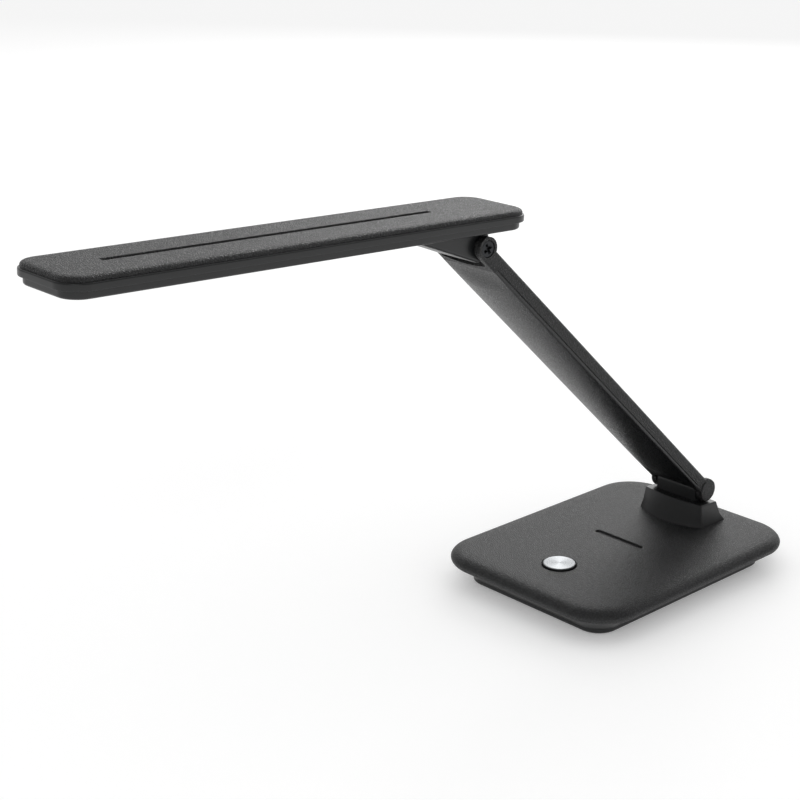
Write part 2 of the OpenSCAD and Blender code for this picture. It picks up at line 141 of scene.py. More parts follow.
class LampHeadSizes(PropertyGroup):
    """Sizes of the light head."""
    length: size("Length", "Head, tail to tip", 0.2725)
    width: size("Width", "Head, side to side", span("head_cover", 1))
    height: size("Height", "Head, tray and cover", 0.0102)
    behind: size("Behind", "Head behind the upper hinge", 0.0267)
    above: size("Above", "Underside of the head over the upper hinge", 0.0081)
    corner: size("Corner", "Corner radius seen from above", 0.012)
    tilt: FloatProperty(name="Tilt", description="Upward tilt of the head at rest",
                        default=math.radians(2.9), subtype="ANGLE", unit="ROTATION")


class LampFinishes(PropertyGroup):
    """Colours and grain sizes."""
    grained: tint("Grained plastic", "Leather-grained covers", "#17181a")
    smooth: tint("Smooth plastic", "Tub, tray and brackets", "#111213")
    rubber: tint("Rubber", "Pad under the base", "#202022")
    aluminium: tint("Aluminium", "Power button", "#808284")
    steel: tint("Steel", "Zinc-plated screws, plates and pins", "#b4b7ba")
    oxide: tint("Black oxide", "Screw of the upper hinge", "#3a3b3d")
    acetal: tint("Acetal", "Friction washers", "#242425")
    mask: tint("Solder mask", "Control board", "#1f6b45")
    opal: tint("Opal acrylic", "Light window", "#f4f4f0")
    phosphor: tint("Phosphor", "Light chips", "#f0dc78")
    white: tint("White plastic", "Reflector frame and light board", "#f0f0ec")
    grain: size("Grain", "Width of one cell of the leather grain", 0.0012)
    spark: size("Spark", "Width of the spark-eroded grain on smooth parts", 0.0003)


class LampStudio(PropertyGroup):
    """Floor, lamps and camera."""
    floor: tint("Floor", "Pale sheet that the lamp stands on", "#f4f4f4")
    key: FloatProperty(name="Key", description="Power of the soft box beside the camera",
                       default=1.6, min=0.0, unit="POWER")
    back: FloatProperty(name="Back", description="Power of the soft box behind",
                        default=9.0, min=0.0, unit="POWER")
    sky: FloatProperty(name="Room", description="Level of the plain room light",
                       default=0.78, min=0.0)
    room: FloatProperty(name="Dim room", description="Level of the room before the lamp",
                        default=0.3, min=0.0, max=1.0)
    lift: FloatProperty(name="Lift", description="White added to the floor where it is seen",
                        default=0.21, min=0.0, max=1.0)


def sizes():
    """Size groups of the base, the arm and the head."""
    scene = bpy.context.scene
    return scene.lamp_base, scene.lamp_arm, scene.lamp_head


def mm(value):
    """Metres, as the panel holds them, to the millimetres that the modelling uses."""
    return value / MM


def on_desk():
    """Frame of the whole lamp, for pieces drawn where the CAD has them."""
    return Matrix.Identity(4)


def along_arm():
    """Frame of the arm: X runs up the arm, Z out of its back, in millimetres."""
    arm = sizes()[1]
    return Matrix.Translation(LOWER / MM) @ Matrix.Rotation(-arm.angle, 4, "Y")


def at_top_hinge():
    """Frame of the arm, moved to the upper hinge."""
    arm = sizes()[1]
    return along_arm() @ Matrix.Translation((mm(arm.length), 0, mm(arm.offset)))


def along_head():
    """Frame of the head: X runs to the tip, Z out of its top, origin on the hinge."""
    _, arm, head = sizes()
    return at_top_hinge() @ Matrix.Rotation(arm.angle - head.tilt, 4, "Y")


# ---------------------------------------------------------------- modelling

def chain(bm, points):
    """Open chain of edges through a few points."""
    verts = [bm.verts.new(p) for p in points]
    return [bm.edges.new(pair) for pair in zip(verts, verts[1:])]


def moved(made):
    """Vertices and edges of what an extrusion or a spin made last."""
    return ([g for g in made if isinstance(g, bmesh.types.BMVert)],
            [g for g in made if isinstance(g, bmesh.types.BMEdge)])


def push(bm, edges, way):
    """Extrudes edges in a straight line, and gives the new end edges."""
    verts, ends = moved(bmesh.ops.extrude_edge_only(bm, edges=edges)["geom"])
    bmesh.ops.translate(bm, verts=verts, vec=way)
    return ends


def turn(bm, edges, centre, degrees, steps):
    """Spins edges about an upright axis, and gives the new end edges."""
    verts = list({v for e in edges for v in e.verts})
    made = bmesh.ops.spin(bm, geom=verts + edges, cent=centre, axis=(0, 0, 1),
                          angle=math.radians(degrees), steps=steps)
    return moved(made["geom_last"])[1]


def slab(section, length, width, radius, steps, middle=0.0):
    """Skin swept round a rounded rectangle; the section is (inset, height) points."""
    bm = bmesh.new()
    half_x, half_y = length / 2 - radius, width / 2 - radius
    edges = chain(bm, [(length / 2 - inset, 0, z) for inset, z in section])
    edges = push(bm, edges, (0, half_y, 0))
    edges = turn(bm, edges, (half_x, half_y, 0), 90, steps)
    push(bm, edges, (-half_x, 0, 0))
    for axis in "XY":
        bmesh.ops.mirror(bm, geom=bm.verts[:] + bm.edges[:] + bm.faces[:],
                         axis=axis, merge_dist=0.001)
    bmesh.ops.translate(bm, verts=bm.verts, vec=(middle, 0, 0))
    return bm


def cushion(width, height, power):
    """Soft edge from a wall up to a flat top: (inset, rise) points of a superellipse."""
    turns = [math.radians(90 * i / 12) for i in range(1, 12)]
    return [(width * (1 - math.cos(t) ** (2 / power)), height * math.sin(t) ** (2 / power))
            for t in turns] + [(width, height)]


def quarter(inset, height, radius):
    """Round from straight below its centre out to the side: (inset, height) points."""
    turns = [math.radians(a) for a in range(0, 91, 15)]
    return [(inset - radius * math.sin(t), height - radius * math.cos(t)) for t in turns]


def open_rim(bm, z):
    """Open edges of the skin at one height."""
    return [e for e in bm.edges
            if e.is_boundary and all(abs(v.co.z - z) < 0.01 for v in e.verts)]


def ring(bm, x, y, z, radius, steps):
    """Circle of edges at one height."""
    made = bmesh.ops.create_circle(bm, segments=steps, radius=radius,
                                   matrix=Matrix.Translation((x, y, z)))
    return list({e for v in made["verts"] for e in v.link_edges})


def stadium(bm, x, length, z, half, steps=24):
    """Long loop with round ends across the base, made from a pulled-apart circle."""
    turned_half = Matrix.Rotation(math.pi / steps, 4, "Z")
    made = bmesh.ops.create_circle(bm, segments=steps, radius=half, matrix=turned_half)
    for side in (-1, 1):
        verts = [v for v in made["verts"] if v.co.y * side > 0]
        bmesh.ops.translate(bm, verts=verts, vec=(0, side * (length / 2 - half), 0))
    bmesh.ops.translate(bm, verts=made["verts"], vec=(x, 0, z))
    return list({e for v in made["verts"] for e in v.link_edges})


def window(bm, x, length, width, radius, z):
    """Loop of a rectangle with rounded corners."""
    made = bmesh.ops.create_grid(bm, x_segments=1, y_segments=1, size=0.5)
    verts = made["verts"]
    bmesh.ops.scale(bm, vec=(length, width, 1), verts=verts)
    bmesh.ops.translate(bm, verts=verts, vec=(x, 0, z))
    bmesh.ops.bevel(bm, geom=verts, offset=radius, segments=6, profile=0.5,
                    affect="VERTICES", material=-1)
    face = max((f for f in bm.faces if all(abs(v.co.z - z) < 1e-6 for v in f.verts)
                and abs(f.calc_center_median().x - x) < 0.01
                and len(f.verts) > 4), key=lambda f: f.index)
    edges = face.edges[:]
    bmesh.ops.delete(bm, geom=[face], context="FACES_ONLY")
    return edges


def walls(bm, loops):
    """Bridges each loop to the next, and gives the first and the last."""
    for one, two in zip(loops, loops[1:]):
        bmesh.ops.bridge_loops(bm, edges=one + two)
    return loops[0], loops[-1]


def well(bm, x, y, levels, steps):
    """Round hole or pocket: (radius, height) levels from its mouth to its end."""
    return walls(bm, [ring(bm, x, y, z, r, steps) for r, z in levels])


def fill(bm, edges, up=1):
    """Flat face inside a rim, round any holes in it."""
    bmesh.ops.triangle_fill(bm, edges=edges, use_beauty=True, use_dissolve=False,
                            normal=(0, 0, up))


def turned(section, steps):
    """Lathe-turned form: (radius, height) points spun about Z."""
    bm = bmesh.new()
    edges = chain(bm, [(r, 0, z) for r, z in section])
    bmesh.ops.spin(bm, geom=bm.verts[:] + edges, cent=(0, 0, 0), axis=(0, 0, 1),
                   angle=math.tau, steps=steps, use_merge=True)
    bmesh.ops.remove_doubles(bm, verts=bm.verts, dist=MERGE)
    return bm


def add(bm, part):
    """Puts a finished part into the bmesh of a piece."""
    mesh = bpy.data.meshes.new("part")
    part.to_mesh(mesh)
    part.free()
    bm.from_mesh(mesh)
    bpy.data.meshes.remove(mesh)


def pillar(bm, x, y, section):
    """Turned post or tube standing at a place inside another piece."""
    post = turned(section, 32)
    bmesh.ops.translate(post, verts=post.verts, vec=(x, y, 0))
    add(bm, post)


def sharp_edges(bm, degrees, test=None):
    """Edges that turn by more than an angle, and that pass a test."""
    return [e for e in bm.edges if len(e.link_faces) == 2
            and e.calc_face_angle(0.0) > math.radians(degrees)
            and (test is None or test(e))]


def round_off(bm, edges, radius, steps):
    """Rounds edges with a given radius."""
    bmesh.ops.bevel(bm, geom=edges, offset=radius, offset_type="OFFSET",
                    segments=steps, profile=0.5, affect="EDGES", clamp_overlap=True,
                    material=-1, miter_outer="ARC", spread=0.1)


def from_frame(name):
    """Merged copy of a frame node in millimetres, its flat faces joined."""
    bm = bmesh.new()
    bm.from_mesh(frame["nodes"][name].data)
    bmesh.ops.scale(bm, vec=(1 / MM,) * 3, verts=bm.verts)
    bmesh.ops.remove_doubles(bm, verts=bm.verts, dist=0.002)
    bmesh.ops.dissolve_limit(bm, angle_limit=math.radians(0.8), verts=bm.verts,
                             edges=bm.edges)
    return bm


def piece(name, bm, place, body, nodes, material):
    """Turns a finished bmesh, in millimetres, into a piece that rides on a body."""
    bmesh.ops.remove_doubles(bm, verts=bm.verts, dist=MERGE)
    bmesh.ops.recalc_face_normals(bm, faces=bm.faces)
    bm.transform(Matrix.Scale(MM, 4) @ place)
    mesh = bpy.data.meshes.new(name)
    bm.to_mesh(mesh)
    bm.free()
    mesh.polygons.foreach_set("use_smooth", [True] * len(mesh.polygons))
    mesh.set_sharp_from_angle(angle=math.radians(CREASE))
    mesh.materials.append(material)
    obj = bpy.data.objects.new(name, mesh)
    bpy.context.scene.collection.objects.link(obj)
    even = obj.modifiers.new("Even shading", "WEIGHTED_NORMAL")
    even.keep_sharp = True
    even.weight = 80
    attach(obj, body)
    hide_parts(*nodes)
    if not len(mesh.polygons):
        raise RuntimeError(f"{name} has no faces")


def soften(name, label, body, radius, steps):
    """Makes the piece of a frame node that only has its edges rounded."""
    bm = from_frame(name)
    round_off(bm, sharp_edges(bm, SHARP), radius, steps)
    piece(name + label, bm, on_desk(), body, [name], FINISH[SLOTS[name]])


# ---------------------------------------------------------------- finishes

def node(tree, kind, settings=None, **links):
    """Adds a shader node, sets its values and sockets, and joins what it is given."""
    made = tree.nodes.new(kind)
    for key, value in {**(settings or {}), **links}.items():
        if isinstance(value, bpy.types.NodeSocket):
            tree.links.new(value, made.inputs[key])
        elif isinstance(key, str) and hasattr(made, key):
            setattr(made, key, value)
        else:
            made.inputs[key].default_value = value
    return made


def feed(tree, shader, **sources):
    """Joins patterns to sockets of a shader."""
    for name, source in sources.items():
        tree.links.new(source, shader.inputs[name])


def new_material(name, colour, roughness, metallic=0.0, **more):
    """Fresh material; gives it, its tree, its shader and its Object coordinates."""
    material = bpy.data.materials.new(name)
    material.use_nodes = True
    tree = material.node_tree
    tree.nodes.clear()
    shader = node(tree, "ShaderNodeBsdfPrincipled",
                  {"Base Color": (*colour, 1), "Roughness": roughness,
                   "Metallic": metallic, **more})
    node(tree, "ShaderNodeOutputMaterial", Surface=shader.outputs["BSDF"])
    material.diffuse_color = (*colour, 1)
    place = node(tree, "ShaderNodeTexCoord").outputs["Object"]
    return material, tree, shader, place


def grained_plastic(name, relief, dull, polished):
    """Injection-moulded ABS with an etched leather grain: soft pebbles with fine creases."""
    look = bpy.context.scene.lamp_finishes
    material, tree, shader, place = new_material(name, look.grained, 0.5, IOR=1.53)
    # The creases of the grain wander, so the cells are bent by a slow noise first.
    wander = node(tree, "ShaderNodeTexNoise", {"Scale": 0.4 / look.grain, "Detail": 2.0},
                  Vector=place)
    shift = node(tree, "ShaderNodeVectorMath",
                 {"operation": "SCALE", 0: wander.outputs["Color"],
                  "Scale": 0.9 * look.grain})
    bend = node(tree, "ShaderNodeVectorMath",
                {"operation": "ADD", 0: place, 1: shift.outputs[0]})
    cells = node(tree, "ShaderNodeTexVoronoi",
                 {"feature": "DISTANCE_TO_EDGE", "Scale": 1 / look.grain,
                  "Randomness": 0.95}, Vector=bend.outputs[0])
    pebble = node(tree, "ShaderNodeMapRange",
                  {"interpolation_type": "SMOOTHSTEP", "From Max": 0.34},
                  Value=cells.outputs["Distance"])
    fine = node(tree, "ShaderNodeTexNoise",
                {"Scale": 2.6 / look.grain, "Detail": 3.0, "Roughness": 0.6},
                Vector=place)
    height = node(tree, "ShaderNodeMath",
                  {"operation": "MULTIPLY_ADD", 0: fine.outputs["Fac"], 1: 0.8,
                   2: pebble.outputs["Result"]}).outputs[0]
    # The tops of the pebbles are polished by handling and the creases stay dull; the creases also get painted
    # shade, their colour darkened towards black.
    gloss = node(tree, "ShaderNodeMapRange",
                 {"From Min": 0.3, "From Max": 1.4, "To Min": dull, "To Max": polished},
                 Value=height)
    crease_shade = node(tree, "ShaderNodeMapRange", {"From Min": 0.3, "From Max": 1.2},
                 Value=height)
    # Painted shade: where the grain is low, in its creases, the colour is mixed towards black.
    colour = node(tree, "ShaderNodeMix", {"data_type": "RGBA", 6: (0.002, 0.002, 0.002, 1),
                                          7: (*look.grained, 1)},
                  Factor=crease_shade.outputs["Result"])
    tree.links.new(colour.outputs[2], shader.inputs["Base Color"])
    bump = node(tree, "ShaderNodeBump", {"Strength": 1.0, "Distance": look.grain * relief},
                Height=height)
    feed(tree, shader, Roughness=gloss.outputs["Result"], Normal=bump.outputs["Normal"])
    return material


def smooth_plastic():
    """Injection-moulded ABS from a fine spark-eroded tool: an even satin."""
    look = bpy.context.scene.lamp_finishes
    material, tree, shader, place = new_material("Satin ABS", look.smooth, 0.36, IOR=1.5)
    spark = node(tree, "ShaderNodeTexNoise",
                 {"Scale": 1 / look.spark, "Detail": 1.0}, Vector=place)
    flow = node(tree, "ShaderNodeTexNoise", {"Scale": 60.0, "Detail": 2.0}, Vector=place)
    gloss = node(tree, "ShaderNodeMapRange", {"To Min": 0.3, "To Max": 0.42},
                 Value=flow.outputs["Fac"])
    bump = node(tree, "ShaderNodeBump", {"Strength": 0.12, "Distance": 0.00004},
                Height=spark.outputs["Fac"])
    feed(tree, shader, Roughness=gloss.outputs["Result"], Normal=bump.outputs["Normal"])
    return material


def pad_rubber():
    """Die-cut rubber sheet with a woven press mark: dull and a little dusty."""
    look = bpy.context.scene.lamp_finishes
    material, tree, shader, place = new_material("Pressed rubber", look.rubber, 0.85, IOR=1.52)
    # Press cloth of 1 mm pitch.
    cloth = node(tree, "ShaderNodeTexVoronoi", {"Scale": 1000.0, "Randomness": 0.15,
                                                "distance": "CHEBYCHEV"}, Vector=place)
    bump = node(tree, "ShaderNodeBump", {"Strength": 0.4, "Distance": 0.0001},
                Height=cloth.outputs["Distance"])
    dust = node(tree, "ShaderNodeTexNoise", {"Scale": 120.0, "Detail": 3.0}, Vector=place)
    gloss = node(tree, "ShaderNodeMapRange", {"To Min": 0.75, "To Max": 0.95},
                 Value=dust.outputs["Fac"])
    feed(tree, shader, Roughness=gloss.outputs["Result"], Normal=bump.outputs["Normal"])
    return material


def brushed_aluminium():
    """Aluminium faced on a lathe: fine circles round the middle spread the shine in a fan."""
    look = bpy.context.scene.lamp_finishes
    base = bpy.context.scene.lamp_base
    material, tree, shader, place = new_material(
        "Lathe-brushed aluminium", look.aluminium, 0.36, 1.0, Anisotropic=0.85)
    centred = node(tree, "ShaderNodeMapping",
                   {"Location": (-base.button_ahead, 0, 0), "Scale": (1, 1, 0)},
                   Vector=place)
    reach = node(tree, "ShaderNodeVectorMath",
                 {"operation": "LENGTH", 0: centred.outputs[0]})
    line = node(tree, "ShaderNodeCombineXYZ", X=reach.outputs["Value"])
    # Turning marks 0.12 mm apart, drawn three times as coarse so that they show.
    marks = node(tree, "ShaderNodeTexNoise", {"Scale": 2800.0, "Detail": 2.0},
                 Vector=line.outputs[0])
    bump = node(tree, "ShaderNodeBump", {"Strength": 0.18, "Distance": 0.00004},
                Height=marks.outputs["Fac"])
    gloss = node(tree, "ShaderNodeMapRange", {"To Min": 0.22, "To Max": 0.34},
                 Value=marks.outputs["Fac"])
    way = node(tree, "ShaderNodeTangent", {"direction_type": "UV_MAP", "uv_map": "lathe"})
    feed(tree, shader, Roughness=gloss.outputs["Result"], Normal=bump.outputs["Normal"],
         Tangent=way.outputs[0])
    return material


def plain_metal(name, colour, roughness, streak):
    """Drawn, plated or blacked metal: faint streaks in the gloss, no colour of its own."""
    material, tree, shader, place = new_material(name, colour, roughness, 1.0)
    stretched = node(tree, "ShaderNodeMapping", {"Scale": streak}, Vector=place)
    wear = node(tree, "ShaderNodeTexNoise", {"Scale": 900.0, "Detail": 3.0},
                Vector=stretched.outputs[0])
    gloss = node(tree, "ShaderNodeMapRange",
                 {"To Min": roughness - 0.08, "To Max": roughness + 0.12},
                 Value=wear.outputs["Fac"])
    feed(tree, shader, Roughness=gloss.outputs["Result"])
    return material


def plain_moulding(name, colour, roughness, **more):
    """Small moulding or dipped coat: an even body with a slight mottle in its gloss."""
    material, tree, shader, place = new_material(name, colour, roughness, **more)
    mottle = node(tree, "ShaderNodeTexNoise", {"Scale": 400.0, "Detail": 2.0},
                  Vector=place)
    gloss = node(tree, "ShaderNodeMapRange",
                 {"To Min": roughness - 0.06, "To Max": roughness + 0.08},
                 Value=mottle.outputs["Fac"])
    bump = node(tree, "ShaderNodeBump", {"Strength": 0.08, "Distance": 0.00003},
                Height=mottle.outputs["Fac"])
    feed(tree, shader, Roughness=gloss.outputs["Result"], Normal=bump.outputs["Normal"])
    return material


def printed_board():
    """Glass-epoxy board under green solder mask: copper tracks show as a paler green."""
    look = bpy.context.scene.lamp_finishes
    material, tree, shader, place = new_material("Solder-masked board", look.mask, 0.35,
                                                 IOR=1.5)
    # Tracks run at a 2.5 mm pitch.
    tracks = node(tree, "ShaderNodeTexBrick",
                  {"Scale": 100.0, "Mortar Size": 0.012,
                   "Color1": (*look.mask, 1), "Color2": (*linear("#1c6340"), 1),
                   "Mortar": (*linear("#3a8f5f"), 1)}, Vector=place)
    tree.links.new(tracks.outputs["Color"], shader.inputs["Base Color"])
    return material


FINISH = {}


class LAMP_OT_finishes(Operator):
    """Make the plastics, metals and the rest, and give them to the frame's own nodes"""
    bl_idname = "lamp.finishes"
    bl_label = "Finishes"

    def execute(self, context):
        look = context.scene.lamp_finishes
        FINISH.update(
            grained_shell=grained_plastic("Grained ABS", 0.24, 0.6, 0.32),
            base_grain=grained_plastic("Fine-grained ABS", 0.1, 0.62, 0.42),
            arm_grain=grained_plastic("Handled fine-grained ABS", 0.07, 0.44, 0.24),
            smooth_black=smooth_plastic(),
            grip_rubber=pad_rubber(),
            brushed_aluminium=brushed_aluminium(),
            plain_steel=plain_metal("Zinc-plated steel", look.steel, 0.35, (1, 1, 0.2)),
            dark_steel=plain_metal("Black-oxide steel", look.oxide, 0.38, (1, 1, 1)),
            bearing_plastic=plain_moulding("Acetal", look.acetal, 0.4, IOR=1.48),
            circuit_board=printed_board(),
            board_plastic=plain_moulding("Black nylon", linear("#1c1c1e"), 0.5),
            wire_red=plain_moulding("Red PVC sleeve", linear("#8a2222"), 0.42),
            wire_white=plain_moulding("White PVC sleeve", linear("#dcdcd8"), 0.42),
            light_board=plain_moulding("White solder mask", look.white, 0.4),
            led_phosphor=plain_moulding("Phosphor silicone", look.phosphor, 0.3),
            white_plastic=plain_moulding("White polycarbonate", look.white, 0.45),
            opal_acrylic=plain_moulding("Opal acrylic", look.opal, 0.3, IOR=1.49),
        )
        for name, obj in frame["nodes"].items():
            obj.data.materials.clear()
            obj.data.materials.append(FINISH[SLOTS[name]])
        return {"FINISHED"}


# ---------------------------------------------------------------- base

def base_levels():
    """Sizes of the base, and its top, widest line and seam in millimetres."""
    base = sizes()[0]
    top = mm(base.top)
    return base, top, top - EDGE_RISE, top - EDGE_RISE - EDGE_DROP


class LAMP_OT_base_shell(Operator):
    """Sweep the top shell with its rolled edge, button hole, groove and screw posts"""
    bl_idname = "lamp.base_shell"
    bl_label = "Base Shell"

    def execute(self, context):
        base, top, wide, seam = base_levels()
        roll, inside = mm(base.roll), top - SHELL_WALL
        # The top falls off a little, then turns over a soft crease into the round edge.
        over = [(inset, wide + rise) for inset, rise in cushion(6.2, top - wide - 0.3, 1.75)]
        over += [(7, top - 0.2), (8.4, top - 0.1), (roll, top - 0.02)]
        bm = slab([(11.4, inside), (9, inside), (9, seam + 0.25), (8.75, seam), (4.2, seam)]
                  + quarter(EDGE_DROP, wide, EDGE_DROP) + over
                  + [(roll + 0.25, top), (roll + 0.6, top)],
                  mm(base.length), mm(base.width), mm(base.corner), 24)
        ceiling, face = open_rim(bm, inside), open_rim(bm, top)
        hole = mm(base.button) + 0.34
        mouth, end = well(bm, mm(base.button_ahead), 0,
                          [(hole + 1.2, top), (hole + 0.85, top - 0.06),
                           (hole + 0.15, top - 0.55), (hole, top - 0.9), (hole, inside)],
                          64)
        face, ceiling = face + mouth, ceiling + end
        groove = mm(base.groove)
        mouth, floor = walls(bm, [
            stadium(bm, -1.4, groove + 0.9, top, 2.5),
            stadium(bm, -1.4, groove + 0.3, top - 0.06, 2.15),
            stadium(bm, -1.4, groove, top - 0.25, 1.95),
            stadium(bm, -1.4, groove - 0.4, top - 1.1, 1.7)])
        face = face + mouth
        for x, y, r in [(x, y, 2.1) for x, y in BRACKET_SCREWS] + [(-58, 0, 3)]:
            mouth, end = well(bm, x, y, [(r, top), (r, inside)], 24)
            face, ceiling = face + mouth, ceiling + end
        fill(bm, face)
        fill(bm, ceiling, -1)
        fill(bm, floor)
        for x, y in BASE_SCREWS:
            pillar(bm, x, y, [(1.45, 14), (0, 14), (0, 18), (4, 18), (4, 6.5), (3.8, 6.3),
                              (1.45, 6.3), (1.45, 14)])
        for x, y in BOARD_SCREWS:
            pillar(bm, x, y, [(1.05, 17), (0, 17), (0, 18), (2.6, 18), (2.6, 12.55),
                              (1.05, 12.55), (1.05, 17)])
        for x, y in PLATE_POSTS:
            pillar(bm, x, y, [(0, 18), (3, 18), (3, 9.75), (2.8, 9.55), (0, 9.55)])
        piece("base_shell_skin", bm, on_desk(), "base", ["base_shell"],
              FINISH["base_grain"])
        return {"FINISHED"}


class LAMP_OT_base_tub(Operator):
    """Round the edges of the flared tub, and sweep the pad let into it"""
    bl_idname = "lamp.base_tub"
    bl_label = "Base Tub and Pad"

    def execute(self, context):
        soften("base_tub", "_skin", "base", 0.25, 2)
        base, thick, radius = sizes()[0], 1.78, 8.5
        bm = slab([(1.5, thick), (0, thick), (0, 0.4), (0.12, 0.12), (0.4, 0), (1.5, 0)],
                  mm(base.length) - 2 * PAD_MARGIN, mm(base.width) - 2 * PAD_MARGIN,
                  radius, 12)
        fill(bm, open_rim(bm, 0), -1)
        fill(bm, open_rim(bm, thick))
        piece("grip_pad_sheet", bm, on_desk(), "base", ["grip_pad"],
              FINISH["grip_rubber"])
        return {"FINISHED"}


class LAMP_OT_power_button(Operator):
    """Turn the power button with its chamfer and flange, and lay the brushing round it"""
    bl_idname = "lamp.power_button"
    bl_label = "Power Button"

    def execute(self, context):
        base, top, _, _ = base_levels()
        r = mm(base.button)
        bm = turned([(0, 16.6), (2.2, 16.6), (2.2, 18.3), (6.5, 18.3), (6.5, 16.6),
                     (r + 1.2, 16.6), (r + 1.2, 17.65), (r, 17.65), (r, top + 0.62),
                     (r - 0.12, top + 0.78), (r - 0.45, top + 0.98), (r - 0.7, top + 1.0),
                     (r * 0.5, top + 0.98), (0.4, top + 0.97), (0, top + 0.97)], 96)
        uv = bm.loops.layers.uv.new("lathe")
        for face in bm.faces:
            angles = []
            for loop in face.loops:
                x, y = loop.vert.co.x, loop.vert.co.y
                angles.append(math.atan2(y, x) if math.hypot(x, y) > 1e-4 else None)
            first = next(a for a in angles if a is not None)
            for loop, angle in zip(face.loops, angles):
                if angle is None:
                    angle = sum(a for a in angles if a is not None) / (len(angles) - 1)
                while angle - first > math.pi:
                    angle -= math.tau
                while angle - first < -math.pi:
                    angle += math.tau
                loop[uv].uv = (angle / math.tau, math.hypot(*loop.vert.co.xy) / 20)
        piece("power_button_cap", bm, Matrix.Translation((mm(base.button_ahead), 0, 0)),
              "button", ["power_button"], FINISH["brushed_aluminium"])
        return {"FINISHED"}


# ---------------------------------------------------------------- hinges

def bow(bm, half, front, bulge, back, swell, z):
    """Closed outline with a bowed front and back and straight sides."""
    ends = []
    for place, sagitta, way in ((front, bulge, 1), (-back, swell, -1)):
        reach = (half * half + sagitta * sagitta) / (2 * sagitta)
        centre = (place + way * (sagitta - reach), 0, z)
        start = bm.verts.new((place, -half, z))
        sweep = way * 2 * math.asin(half / reach)
        made = bmesh.ops.spin(bm, geom=[start], cent=centre, axis=(0, 0, 1),
                              angle=sweep, steps=14)
        ends.append((start, moved(made["geom_last"])[0][0]))
    (a, b), (c, d) = ends
    bm.edges.new((a, c))
    bm.edges.new((b, d))
    rim, todo = set(), [a]
    while todo:
        vert = todo.pop()
        for edge in vert.link_edges:
            if edge not in rim:
                rim.add(edge)
                todo.append(edge.other_vert(vert))
    return list(rim)


def plate(bm, start, arcs, y0, y1, holes=()):
    """Prism along Y: a chain of points and arcs in the XZ plane, filled and extruded."""
    first = last = bm.verts.new((start[0], y0, start[1]))
    edges = []
    for step in arcs:
        if len(step) == 2:
            vert = bm.verts.new((step[0], y0, step[1]))
            edges.append(bm.edges.new((last, vert)))
            last = vert
        else:
            x, z, degrees, steps = step
            before = set(bm.edges)
            made = bmesh.ops.spin(bm, geom=[last], cent=(x, y0, z), axis=(0, -1, 0),
                                  angle=math.radians(degrees), steps=steps)
            edges += [e for e in bm.edges if e not in before]
            last = moved(made["geom_last"])[0][0]
    edges.append(bm.edges.new((last, first)))
    for x, z, radius in holes:
        turned_up = Matrix.Translation((x, y0, z)) @ Matrix.Rotation(math.pi / 2, 4, "X")
        made = bmesh.ops.create_circle(bm, segments=40, radius=radius, matrix=turned_up)
        edges += list({e for v in made["verts"] for e in v.link_edges})
    made = bmesh.ops.triangle_fill(bm, edges=edges, use_beauty=True, use_dissolve=True,
                                   normal=(0, -1, 0))
    faces = [g for g in made["geom"] if isinstance(g, bmesh.types.BMFace)]
    made = bmesh.ops.extrude_face_region(bm, geom=faces, use_keep_orig=True)
    verts = moved(made["geom"])[0]
    bmesh.ops.translate(bm, verts=verts, vec=(0, y1 - y0, 0))


def cross(bm, reach, half, z):
    """Loop of a cross recess: one square, its sides pulled out into four arms."""
    made = bmesh.ops.create_grid(bm, x_segments=3, y_segments=3, size=1.5)
    for vert in made["verts"]:
        for axis in (0, 1):
            far = abs(vert.co[axis]) > 1
            vert.co[axis] = math.copysign(reach if far else half, vert.co[axis])
        vert.co.z = z
    corners = [v for v in made["verts"] if abs(v.co.x) > half + 0.01
               and abs(v.co.y) > half + 0.01]
    bmesh.ops.delete(bm, geom=corners, context="VERTS")
    left = [v for v in made["verts"] if v.is_valid]
    faces = list({f for v in left for f in v.link_faces})
    rim = [e for f in faces for e in f.edges if sum(g in faces for g in e.link_faces) == 1]
    bmesh.ops.delete(bm, geom=faces, context="FACES_ONLY")
    inner = [e for v in left for e in v.link_edges if e not in rim and not e.link_faces]
    bmesh.ops.delete(bm, geom=list(set(inner)), context="EDGES")
    return [e for e in set(rim) if e.is_valid]


